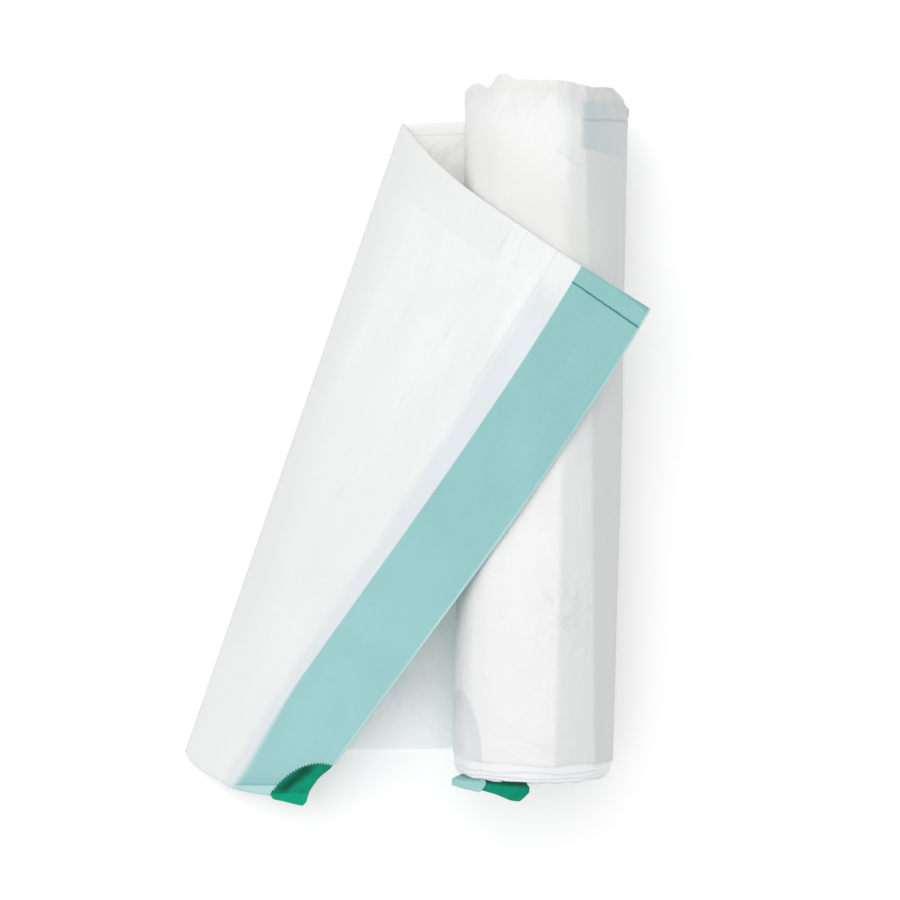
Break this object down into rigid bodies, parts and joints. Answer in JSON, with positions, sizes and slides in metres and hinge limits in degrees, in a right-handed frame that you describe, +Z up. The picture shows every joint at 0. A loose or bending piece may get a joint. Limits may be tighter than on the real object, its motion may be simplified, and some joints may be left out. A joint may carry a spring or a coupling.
{
  "type": "bin bag roll",
  "caption": "Coreless roll of draw tape bin bags lying on its side, its web drawn out on the floor, folded back on a slant and laid over the roll.",
  "frame": {"origin": "on the floor under the roll's axis, at the middle of the web's width", "axes": "+Y runs along the roll towards the bags' side seam, +Z is up, and the web leaves from under the roll towards -X"},
  "size_m": [0.2113, 0.3267, 0.0707],
  "materials": {
    "film": "milky white film with a soft sheen",
    "tape": "dark green film, satin"
  },
  "bodies": {
    "root": {"wound_roll": "film", "loose_bag": "film", "draw_tape": "tape", "next_tape": "tape"}
  },
  "joints": []
}
